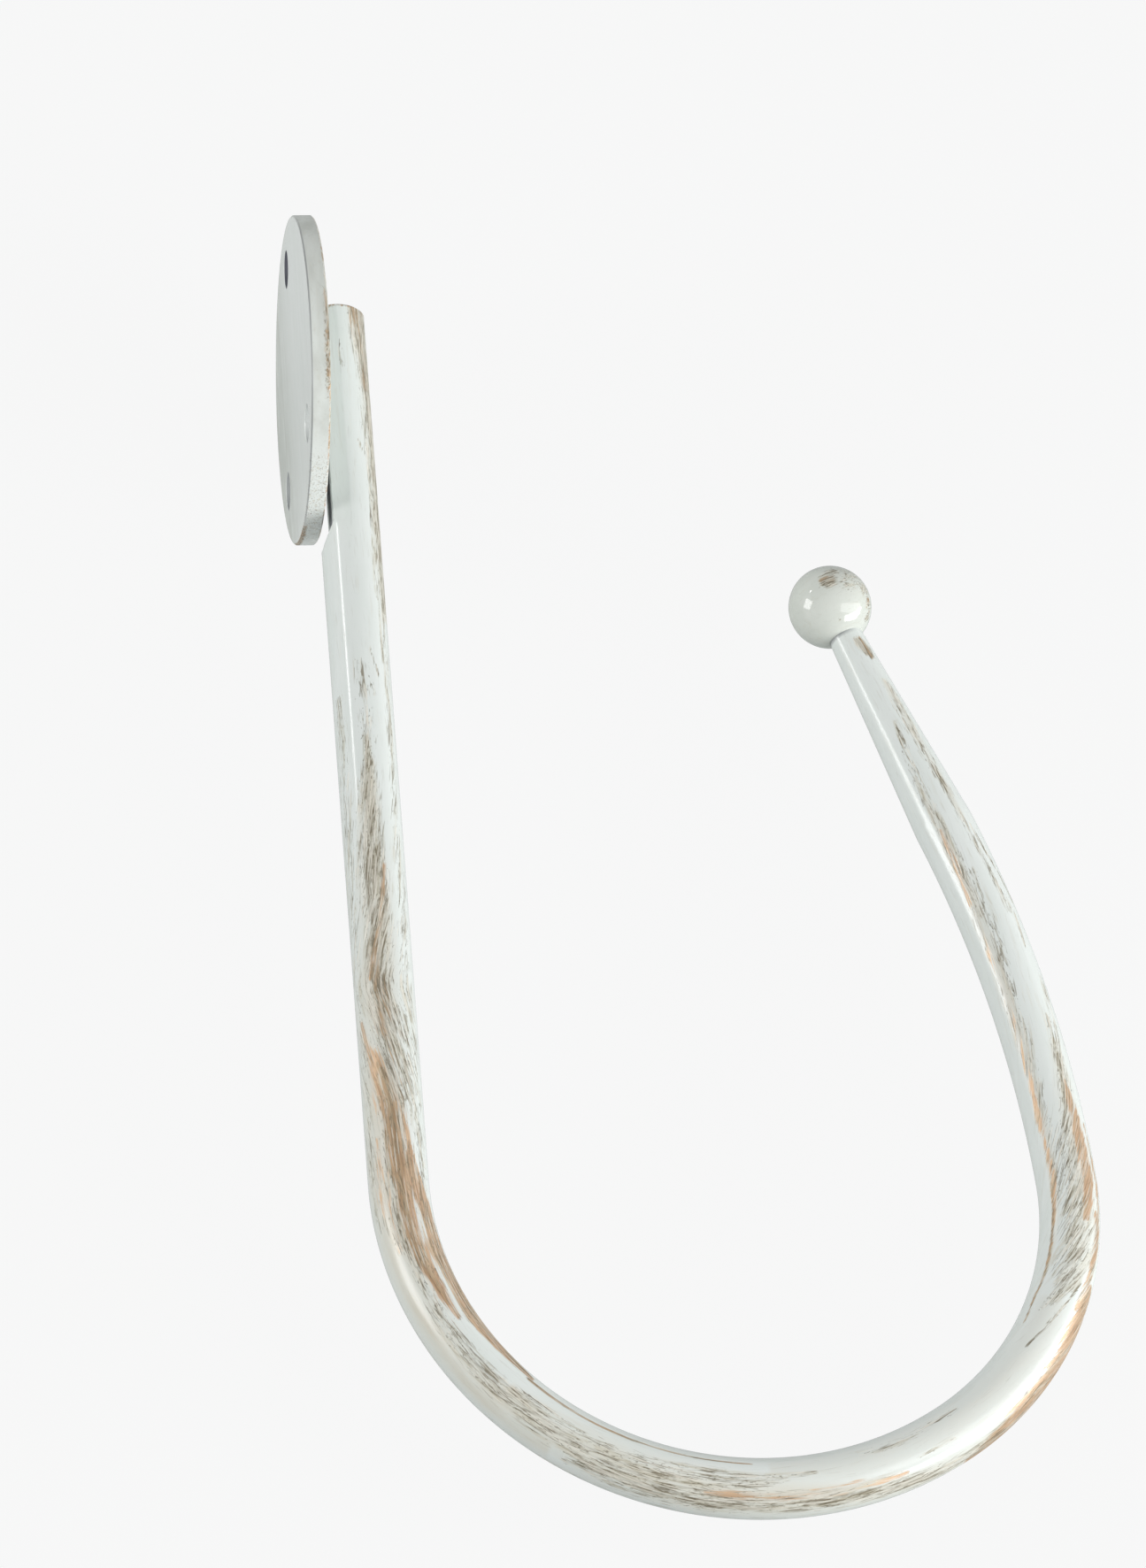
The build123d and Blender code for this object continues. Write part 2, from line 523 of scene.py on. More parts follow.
BAR_WEAR_AND_SHADE: dict[Layer, tuple[Band, ...]] = {
    Layer.VEIL_AND_SHADE: (
        Band("cut end corner", 0.9, 0.6, (
            (-0.1, 40, 25), (8, 38, 25), (10, 32, 22), (28, 28, 20), (60, 26, 14),
        )),
        Band("mid shank", 0.9, 0.8, (
            (82, 94, 3), (92, 98, 13), (104, 101, 20), (118, 106, 30), (132, 118, 40), (150, 126, 40),
            (170, 130, 38), (190, 138, 32), (206, 142, 28), (216, 140, 30),
        )),
        Band("bottom of the bend", 0.85, 0.8, (
            (205, 108, 14), (222, 124, 38), (240, 132, 40), (256, 142, 32), (270, 164, 24), (300, 176, 16),
        )),
        Band("satin on the bend", 0.35, 0.8, ((250, 84, 24), (275, 92, 34), (300, 92, 34), (312, 84, 24))),
        Band("slanting brushing", 0.6, 0.8, (
            (310, 76, 3), (318, 110, 22), (328, 116, 26), (346, 112, 20), (360, 120, 10),
        )),
        Band("free leg", 0.7, 0.8, (
            (318, 52, 4), (334, 54, 8), (352, 56, 8), (376, 60, 8), (390, 62, 9), (402, 62, 8),
            (412, 64, 4),
        )),
        Band("chip at the neck", 1.0, 0.5, NECK_CHIP),
        Band("outer side of the free leg", 0.6, 0.8, ((402, 114, 5), (416, 115, 9), (431, 116, 9))),
        Band("far side", 0.7, 0.8, ((84, 252, 30), (200, 262, 56), (330, 262, 46), (384, 262, 22))),
    ),
    Layer.STROKES: (
        Band("cut end corner", 1.15, 0.6, (
            (-0.1, 40, 24), (8, 38, 24), (10, 32, 22), (20, 30, 21), (28, 29, 19), (44, 28, 16),
            (58, 26, 12),
        )),
        Band("dashes beside the seat", 0.7, 0.6, (
            (29, 47, 4), (36, 48, 2), (40, 50, 3), (55, 50, 4), (58, 46, 2), (63, 47, 4), (68, 46, 3),
        )),
        Band("inner hairs", 0.55, 0.8, (
            (-0.1, 34, 12), (28, 34, 11), (56, 36, 8), (75, 38, 8), (95, 44, 9), (112, 42, 12),
        )),
        Band("inner hairs of the mid shank", 0.62, 0.8, (
            (112, 42, 10), (128, 50, 14), (140, 46, 22), (158, 46, 18), (166, 42, 10),
        )),
        Band("curl beside the plate", 0.9, 0.6, ((7.5, 90, 2), (10, 91, 3), (12.5, 86, 2))),
        Band("slanting scratch", 0.8, 0.5, ((26, 70, 2), (30, 46, 2))),
        Band("second slanting scratch", 0.8, 0.5, ((66, 75, 2), (71, 60, 2))),
        Band("nick", 1.0, 0.5, ((72.5, 78, 3), (75, 71, 3))),
        Band("first specks", 0.5, 0.8, ((68, 95, 10), (84, 92, 14))),
        Band("fan on the mid shank", 1.0, 0.7, (
            (82, 93, 3), (88, 97, 13), (94, 101, 18), (102, 103, 22), (110, 102, 25), (118, 102, 24),
            (126, 107, 24), (134, 105, 22), (140, 100, 24), (148, 92, 18), (156, 86, 10),
        )),
        Band("upper edge of the rub", 0.9, 0.7, (
            (148, 120, 6), (160, 114, 9), (170, 109, 9), (182, 106, 11), (192, 104, 5), (204, 106, 3),
        )),
        Band("cross marks", 0.9, 0.7, ((132, 78, 10), (141, 78, 16), (150, 74, 12))),
        Band("flecks beside the rub", 0.75, 0.7, (
            (134, 60, 12), (146, 57, 15), (156, 46, 10), (163, 42, 8),
        )),
        Band("wall side of the shank", 0.5, 0.8, (
            (74, 148, 10), (90, 152, 14), (118, 156, 14), (140, 154, 14), (162, 156, 9), (172, 154, 6),
        )),
        Band("grey lines through the bend", 0.66, 0.8, (
            (182, 108, 8), (194, 112, 16), (206, 118, 18), (218, 124, 20), (228, 130, 20),
        )),
        Band("loops in the bend", 0.72, 0.7, (
            (203, 100, 4), (207, 104, 9), (212, 108, 13), (224, 106, 14), (232, 108, 18), (240, 106, 18),
            (248, 104, 14), (253, 98, 5),
        )),
        Band("inner flecks of the bend", 0.7, 0.7, (
            (206, 92, 3), (214, 90, 3), (222, 96, 4), (232, 93, 6), (242, 91, 6), (250, 93, 4),
            (258, 91, 3),
        )),
        Band("bottom of the bend", 0.95, 0.8, (
            (218, 150, 12), (226, 148, 20), (236, 146, 22), (248, 144, 18), (256, 150, 14), (264, 156, 14),
            (276, 162, 13), (288, 172, 12),
        )),
        Band("dark lower line", 1.3, 0.5, ((228, 155, 3), (233, 151, 5), (240, 156, 3), (254, 155, 2))),
        Band("faint marks", 0.45, 0.8, ((265, 68, 6), (272, 74, 7), (280, 66, 6), (285, 72, 5))),
        Band("fleck beside the sheen", 0.7, 0.6, ((274, 116, 2), (281, 117, 2))),
        Band("first slanting line", 1.2, 0.5, ((301.5, 80, 2), (309, 100, 2.5), (316, 123, 3))),
        Band("slanting brushing", 0.88, 0.7, (
            (309, 68, 3), (313, 92, 12), (318, 100, 28), (326, 102, 32), (334, 94, 28), (340, 92, 22),
            (346, 104, 12), (352, 112, 8), (364, 122, 6),
        )),
        Band("dashes on the free leg", 0.64, 0.8, (
            (330, 62, 6), (350, 62, 8), (361, 66, 8), (372, 68, 8), (384, 76, 9), (393, 81, 6),
        )),
        Band("second dashes", 0.68, 0.8, (
            (384, 62, 6), (396, 66, 10), (404, 63, 9), (412, 67, 9), (418, 73, 7), (423, 84, 4),
        )),
        Band("short outer line", 1.2, 0.5, ((377, 127, 2), (384, 136, 2))),
        Band("curved outer line", 1.2, 0.5, ((386, 150, 4), (391, 142, 3), (396, 130, 2.5), (401, 123, 2))),
        Band("outer dashes", 0.78, 0.8, (
            (384, 124, 6), (397, 114, 5), (404, 111, 5), (408, 114, 9), (416, 114, 12), (428, 116, 13),
            (431, 114, 6),
        )),
        Band("chip at the neck", 1.5, 0.5, NECK_CHIP),
        Band("outer flecks above the bend", 0.6, 0.7, (
            (350, 124, 8), (358, 126, 6), (368, 142, 8), (372, 146, 6),
        )),
        Band("far side", 0.7, 0.8, (
            (84, 252, 30), (130, 255, 50), (200, 262, 54), (330, 262, 46), (384, 262, 22),
        )),
        Band("inner strokes of the bend", 0.5, 0.8, ((150, 338, 20), (190, 348, 26), (235, 350, 18))),
        Band("far side of the free leg", 0.55, 0.8, ((384, 236, 10), (410, 240, 14), (436, 236, 10))),
    ),
    Layer.BARE: (
        Band("streak on the mid shank", 0.66, 1.0, (
            (106, 80, 4), (112, 87, 6), (118, 100, 9), (123, 113, 9), (127, 121, 4),
        )),
        Band("rub into the bend", 0.98, 0.8, (
            (134, 152, 3), (139, 141, 6), (142, 124, 15), (146, 112, 19), (150, 104, 21), (155, 97, 22),
            (160, 91, 21), (165, 86, 19), (169, 89, 15), (174, 89, 16), (180, 87, 13), (186, 84, 10),
            (191, 82, 4),
        )),
        Band("clean inner edge", 1.35, 0.35, (
            (157, 73, 3), (161, 70, 11), (165, 60, 17), (169, 50, 16), (172, 46, 16), (178, 46, 18),
            (185, 45, 18), (191, 48, 20), (197, 44, 16), (202, 44, 12), (207, 50, 4),
        )),
        Band("warm spot", 0.5, 1.0, ((156, 132, 6), (163, 133, 13), (171, 128, 12), (177, 124, 5))),
        Band("tinge at the bottom", 0.6, 0.9, ((240, 130, 5), (250, 132, 9), (264, 131, 8), (272, 134, 4))),
        Band("outer edge", 1.1, 0.6, (
            (282, 184, 10), (288, 172, 21), (296, 167, 27), (305, 163, 27), (312, 158, 21), (317, 151, 9),
        )),
        Band("thin outer rub", 0.85, 0.7, ((312, 132, 5), (318, 144, 9), (324, 148, 10), (329, 144, 8))),
        Band("outer edge above the bend", 1.0, 0.7, (
            (327, 116, 6), (333, 121, 13), (340, 123, 14), (345, 121, 12), (350, 119, 6), (352, 118, 2),
        )),
        Band("outermost line", 0.6, 0.8, ((318, 150, 5), (332, 152, 6), (345, 146, 4))),
        Band("spots on the free leg", 0.8, 0.9, (
            (326, 50, 3), (333, 54, 6), (338, 54, 6), (341, 51, 3), (343, 51, 5), (346, 50, 8),
            (351, 50, 4),
        )),
        Band("faint tan on the free leg", 0.42, 1.0, (
            (351, 50, 6), (364, 49, 7), (376, 50, 6), (388, 50, 5),
        )),
        Band("upper spot on the free leg", 0.66, 0.9, (
            (387, 53, 4), (394, 55, 8), (399, 58, 8), (402, 62, 3),
        )),
        Band("far side of the first bend", 0.8, 0.8, ((160, 300, 14), (176, 310, 20), (196, 312, 12))),
        Band("far side of the outer edge", 0.8, 0.8, ((290, 205, 10), (312, 200, 14), (336, 198, 10))),
    ),
    Layer.UMBER: (
        Band("cut end edge", 0.62, 0.8, ((-0.1, 120, 170), (0.7, 120, 170))),
        Band("cut end corner", 0.55, 0.8, ((-0.1, 42, 20), (5, 42, 18), (8, 38, 14), (16, 34, 8))),
        Band("brown under the fan", 0.5, 0.9, (
            (120, 106, 8), (130, 104, 14), (138, 101, 18), (145, 96, 20), (150, 92, 16),
        )),
        Band("dark rub into the bend", 0.85, 0.8, (
            (142, 120, 4), (146, 112, 11), (151, 103, 14), (158, 97, 13), (164, 96, 12), (167, 98, 8),
            (172, 95, 12), (177, 94, 8), (183, 88, 6), (188, 85, 3),
        )),
        Band("thin line inside the bend", 0.95, 0.6, (
            (206, 59, 3), (220, 61, 2.5), (232, 62, 2), (247, 62, 1.5),
        )),
        Band("thin line before the free leg", 0.9, 0.6, (
            (306, 48, 1.5), (311, 43, 2), (316, 50, 3), (334, 49, 2.5),
        )),
        Band("chip at the neck", 0.44, 0.8, (
            (435.6, 121, 4), (437, 115, 14), (438.8, 108, 17), (440.3, 103, 8),
        )),
    ),
    # painted shade: the crease where the bar meets the ball, and the gap between the seat flat and the plate
    Layer.RAW: (
        Band("joint at the ball", 0.75, 0.6, ((441.7, 30, 70), (450, 30, 70))),
        Band("flat where it meets the plate", 0.85, 0.25, (
            (-0.1, 180, 36), (40, 180, 36), (43.5, 180, 20), (45, 180, 4),
        )),
    ),
}


def band_strengths(bands: tuple[Band, ...], along: float, arounds: list[float]) -> list[float]:
    """Greatest strength of several bands round one ring of the bar.

    Args:
        bands: bands of one layer.
        along: millimetres along the bar.
        arounds: degrees of the ring's points.

    Returns:
        One strength for each point.
    """
    crossed = [(band, band.section(along)) for band in bands]
    crossed = [(band, section) for band, section in crossed if section]
    return [
        max((band.across(section, around) for band, section in crossed), default=0.0) for around in arounds
    ]


# Pieces

@dataclass
class Station:
    """One place on the bar's centreline, with its tangent and inward normal."""

    point: Vector
    tangent: Vector
    inward: Vector


@dataclass
class BentBar:
    """Round bar with a seat flat on its straight shank, a two-radius bend and a tapered end."""

    diameter: float = 9.94 * MM
    axis_from_wall: float = 7.6 * MM
    above_plate_centre: float = 12.0 * MM
    shank: float = 162.5 * MM
    bends: tuple[Span, ...] = ((56.0 * MM, 123.4), (50.2 * MM, 61.0), (238.0 * MM, 16.2))
    free_end: float = 38.16 * MM
    tip_diameter: float = 5.7 * MM
    end_chamfer: float = 0.4 * MM
    seat_depth: float = 1.87 * MM
    seat_end: float = 41.0 * MM
    seat_run: float = 4.0 * MM
    cheek_depth: float = 0.23 * MM
    cheek_turn: float = 70.0
    cheek_end: float = 39.6 * MM
    cheek_run: float = 1.6 * MM
    spigot_diameter: float = 3.6 * MM
    spigot_length: float = 5.0 * MM
    spigot_chamfer: float = 0.3 * MM
    ring_spacing: float = 0.75 * MM
    around_count: int = 144
    brush_turns: tuple[Triple, ...] = (
        (82, 112, 1.3), (112, 127, 2.7), (129, 150, -2.6), (150, 166, -0.8),
        (298, 311, 3.0), (311, 347, 5.0), (347, 362, 2.2), (362, 430, 0.6),
    )
    finish: DistressedPaint = DistressedPaint("bar_paint")

    def length(self) -> float:
        """Length of the centreline up to the ball's seat."""
        curved = sum(radius * math.radians(angle) for radius, angle in self.bends)
        return self.shank + curved + self.free_end

    def station(self, along: float) -> Station:
        """Find one place on the centreline.

        Args:
            along: distance from the cut end.

        Returns:
            The station there.
        """
        point = Vector((self.axis_from_wall, self.above_plate_centre))
        heading = -math.pi / 2
        left = along
        runs = [(0.0, self.shank)] + [(r, r * math.radians(a)) for r, a in self.bends] + [(0.0, math.inf)]
        for radius, length in runs:
            step = min(left, length)
            if radius:
                centre = point + radius * Vector((-math.sin(heading), math.cos(heading)))
                heading += step / radius
                point = centre + radius * Vector((math.sin(heading), -math.cos(heading)))
            else:
                point = point + step * Vector((math.cos(heading), math.sin(heading)))
            left -= step
            if left <= 0.0:
                break
        tangent = Vector((math.cos(heading), math.sin(heading), 0.0))
        return Station(point.to_3d(), tangent, Vector((-tangent.y, tangent.x, 0.0)))

    def round_radius(self, along: float) -> float:
        """Find the bar's radius before its flats are cut.

        Args:
            along: distance from the cut end.

        Returns:
            The round radius there.
        """
        radius = self.diameter / 2
        tip = self.tip_diameter / 2
        taper = (along - (self.length() - self.free_end)) / self.free_end
        if taper > 0.0:
            return radius + taper * (tip - radius)
        return radius - max(0.0, self.end_chamfer - along)

    def cut(self, along: float, depth: float, end: float, run: float) -> float:
        """Distance from the axis to a flat at one station."""
        share = min(1.0, max(0.0, (along - end) / run))
        return self.diameter / 2 - depth * (1.0 - share)

    def surface_radius(self, along: float, around: float) -> float:
        """Distance from the axis to the surface.

        Args:
            along: distance from the cut end.
            around: angle in radians from the inward side.

        Returns:
            The radius there.
        """
        radius = self.round_radius(along)
        seat = self.cut(along, self.seat_depth, self.seat_end, self.seat_run)
        cheek = self.cut(along, self.cheek_depth, self.cheek_end, self.cheek_run)
        for turn, face in ((0.0, seat), (self.cheek_turn, cheek), (-self.cheek_turn, cheek)):
            facing = math.cos(around - math.radians(180.0 - turn))
            if facing > 0.0:
                radius = min(radius, face / facing)
        return radius

    def ring_places(self) -> list[float]:
        """Place the mesh rings, with one on each edge of the flats and tapers.

        Returns:
            Distances of the rings along the bar.
        """
        length = self.length()
        count = round(length / self.ring_spacing)
        places = {length * number / count for number in range(count + 1)}
        places |= {self.end_chamfer, self.seat_end, self.seat_end + self.seat_run}
        places |= {self.cheek_end, self.cheek_end + self.cheek_run, length - self.free_end}
        return sorted(places)

    def twist(self, along: float) -> float:
        """Add up the turns of the brushing, each in degrees for a millimetre between two places.

        Args:
            along: distance from the cut end.

        Returns:
            The brushing's turn around the bar, in radians.
        """
        turn = 0.0
        for start, end, slope in self.brush_turns:
            turn += slope * min(max(along / MM - start, 0.0), end - start)
        return -math.radians(turn)

    def build(self) -> bpy.types.Object:
        """Build the bar's mesh with its wear and painted shade on it.

        Returns:
            The bar's object.
        """
        places = self.ring_places()
        angles = [math.tau * number / self.around_count for number in range(self.around_count)]
        length = self.length()
        inside_cut_end = self.diameter / 4
        shoulder = self.spigot_diameter / 2
        rings = [(0.0, inside_cut_end)] + [(place, None) for place in places]
        rings += [
            (length, shoulder),
            (length + self.spigot_length - self.spigot_chamfer, shoulder),
            (length + self.spigot_length, shoulder - self.spigot_chamfer),
        ]
        verts: list[Vector] = []
        run: list[float] = []
        wear_and_shade: dict[Layer, list[float]] = {layer: [] for layer in Layer}
        for along, fixed in rings:
            station = self.station(along)
            twist = self.twist(along)
            for angle in angles:
                radius = fixed or self.surface_radius(along, angle)
                out = math.cos(angle) * station.inward + math.sin(angle) * Vector((0, 0, 1))
                verts.append(station.point + radius * out)
                turned = angle + twist
                run += [radius / MM * math.cos(turned), radius / MM * math.sin(turned), along / MM]
            for layer, bands in BAR_WEAR_AND_SHADE.items():
                around = [math.degrees(angle) for angle in angles]
                wear_and_shade[layer] += [0.0] * len(angles) if fixed else band_strengths(bands, along / MM, around)
        count = self.around_count
        faces = [
            (ring * count + n, ring * count + (n + 1) % count,
             (ring + 1) * count + (n + 1) % count, (ring + 1) * count + n)
            for ring in range(len(rings) - 1)
            for n in range(count)
        ]
        faces.append(tuple(reversed(range(count))))
        faces.append(tuple(range((len(rings) - 1) * count, len(rings) * count)))
        bar = make_object("bent_bar_painted", verts, faces)
        store_layers(bar, run, wear_and_shade)
        return bar

    def dress(self, bar: bpy.types.Object) -> None:
        """Give the bar its finish and its place in the model.

        Args:
            bar: the bar's object.
        """
        bar.data.materials.append(self.finish.make(along_strokes, painted))
        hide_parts("bent_bar")
        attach(bar, "root")


def make_object(name: str, verts: list[Vector], faces: list[tuple[int, ...]]) -> bpy.types.Object:
    """Make a smooth-shaded object whose steeper edges stay sharp.

    Args:
        name: name of the object.
        verts: corner points in metres.
        faces: corner numbers of each face.

    Returns:
        The new object, linked to the scene.
    """
    mesh = bpy.data.meshes.new(name)
    mesh.from_pydata(verts, [], faces)
    mesh.validate()
    mesh.polygons.foreach_set("use_smooth", [True] * len(mesh.polygons))
    mesh.set_sharp_from_angle(angle=math.radians(SHARP_ANGLE))
    thing = bpy.data.objects.new(name, mesh)
    bpy.context.scene.collection.objects.link(thing)
    return thing


def store_layers(thing: bpy.types.Object, run: list[float], wear_and_shade: dict[Layer, list[float]]) -> None:
    """Store the brushing coordinates and the layers of wear and painted shade on a mesh.

    Args:
        thing: object that carries the mesh.
        run: three coordinates for each corner, one after another.
        wear_and_shade: one strength for each corner, by layer.
    """
    thing.data.attributes.new("run", "FLOAT_VECTOR", "POINT").data.foreach_set("vector", run)
    for layer, values in wear_and_shade.items():
        thing.data.attributes.new(layer.value, "FLOAT", "POINT").data.foreach_set("value", values)


@dataclass(frozen=True)
class Rub:
    """Worn spot on the ball, round a direction from its centre, with its reach in degrees."""

    direction: Triple
    reach: float
    layer: Layer
    strength: float
    fade: float = 1.5

    def at(self, out: Vector) -> float:
        """Strength at one direction from the ball's centre."""
        angle = math.degrees(out.angle(Vector(self.direction)))
        return self.strength * smooth(self.fade - angle / self.reach)


@dataclass
class BallFinial:
    """Ball on the bar's tip, flat where it seats."""

    bar: BentBar
    diameter: float = 13.8 * MM
    seat_margin: float = 0.1 * MM
    segments: int = 128
    rings: int = 72
    finish: DistressedPaint = DistressedPaint(
        "ball_paint",
        # the ball's enamel is darker than the bar's as painted shade
        enamel=colour(213, 217, 210),
        enamel_shade=colour(207, 212, 204),
        enamel_roughness=0.04,
    )
    rubs: tuple[Rub, ...] = (
        Rub((-0.25, 0.26, 0.93), 7.0, Layer.UMBER, 0.5),
        Rub((-0.07, 0.15, 0.98), 7.5, Layer.UMBER, 0.6),
        Rub((-0.16, 0.21, 0.96), 10.0, Layer.VEIL_AND_SHADE, 0.9),
        Rub((-0.14, 0.20, 0.97), 12.0, Layer.STROKES, 1.4),
        Rub((-0.05, 0.42, 0.91), 13.0, Layer.STROKES, 0.78),
        Rub((0.34, 0.20, 0.92), 14.0, Layer.STROKES, 0.42),
        Rub((0.48, 0.42, 0.77), 18.0, Layer.STROKES, 0.56),
        Rub((0.76, 0.16, 0.63), 10.0, Layer.STROKES, 0.95),
        Rub((0.87, -0.20, 0.45), 8.0, Layer.STROKES, 1.0),
        Rub((0.83, -0.46, 0.32), 7.0, Layer.STROKES, 0.9),
        Rub((0.85, -0.10, 0.51), 4.5, Layer.UMBER, 0.80),
        Rub((0.88, -0.34, 0.33), 4.0, Layer.UMBER, 0.70),
        Rub((0.42, 0.30, 0.86), 28.0, Layer.VEIL_AND_SHADE, 0.06),
        Rub((0.10, -0.72, 0.69), 2.0, Layer.STROKES, 0.6),
        Rub((0.5, 0.8, -0.3), 34.0, Layer.STROKES, 0.5),
        Rub((-0.2, 0.7, -0.7), 24.0, Layer.STROKES, 0.5),
    )

    def seat_radius(self) -> float:
        """Radius of the flat seat."""
        return self.bar.tip_diameter / 2 + self.seat_margin

    def build(self) -> bpy.types.Object:
        """Build the ball with its wear painted on.

        Returns:
            The ball's object.
        """
        tip = self.bar.station(self.bar.length())
        radius = self.diameter / 2
        seat = math.asin(self.seat_radius() / radius)
        centre = tip.point + tip.tangent * radius * math.cos(seat)
        side = Vector((0.0, 0.0, 1.0))
        verts: list[Vector] = []
        run: list[float] = []
        wear_and_shade: dict[Layer, list[float]] = {layer: [] for layer in Layer}
        for ring in range(self.rings + 1):
            tilt = seat + (math.pi - seat) * ring / self.rings
            ring_count = 1 if ring == self.rings else self.segments
            for n in range(ring_count):
                turn = math.tau * n / self.segments
                across = math.cos(turn) * tip.inward + math.sin(turn) * side
                out = math.sin(tilt) * across - math.cos(tilt) * tip.tangent
                verts.append(centre + radius * out)
                run += [radius / MM * out.dot(side), radius / MM * out.dot(tip.tangent),
                        radius / MM * out.dot(tip.inward)]
                for layer in Layer:
                    wear_and_shade[layer].append(self.rubbed(layer, out))
        faces = []
        count = self.segments
        for ring in range(self.rings - 1):
            for n in range(count):
                after = (n + 1) % count
                faces.append((ring * count + n, (ring + 1) * count + n,
                              (ring + 1) * count + after, ring * count + after))
        last = (self.rings - 1) * count
        faces += [(last + n, self.rings * count, last + (n + 1) % count) for n in range(count)]
        faces.append(tuple(range(count)))
        ball = make_object("ball_painted", verts, faces)
        store_layers(ball, run, wear_and_shade)
        return ball

    def rubbed(self, layer: Layer, out: Vector) -> float:
        """Strength of a layer at one direction from the ball's centre."""
        return max((rub.at(out) for rub in self.rubs if rub.layer is layer), default=0.0)

    def dress(self, ball: bpy.types.Object) -> None:
        """Give the ball its finish and its place in the model.

        Args:
            ball: the ball's object.
        """
        ball.data.materials.append(self.finish.make(along_strokes, painted))
        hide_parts("ball_finial")
        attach(ball, "root")


@dataclass(frozen=True)
class ScrewHole:
    """Screw hole at an angle round the plate in degrees, with the strength of the painted shade on its wall.
    """

    angle: float
    darkness: float


@dataclass(frozen=True)
class Sector:
    """Part of the plate's round in degrees, fading out towards both ends."""

    middle: float
    reach: float
    full_share: float = 0.4

    def mask(self, board: Board, turn: Field) -> Field:
        """Find the sector.

        Args:
            board: node tree that it is built in.
            turn: angle round the plate in radians.

        Returns:
            1 in the middle, 0 beyond the reach.
        """
        off = turn - math.radians(self.middle)
        facing = board.add("ShaderNodeMath", {"operation": "COSINE"}, {0: off})
        full = self.reach * self.full_share
        return facing.step(math.cos(math.radians(self.reach)), math.cos(math.radians(full)))


def beside(edge: float, fade: Span) -> Span:
    """Places of a fade that is counted from an edge."""
    return edge + fade[0], edge + fade[1]


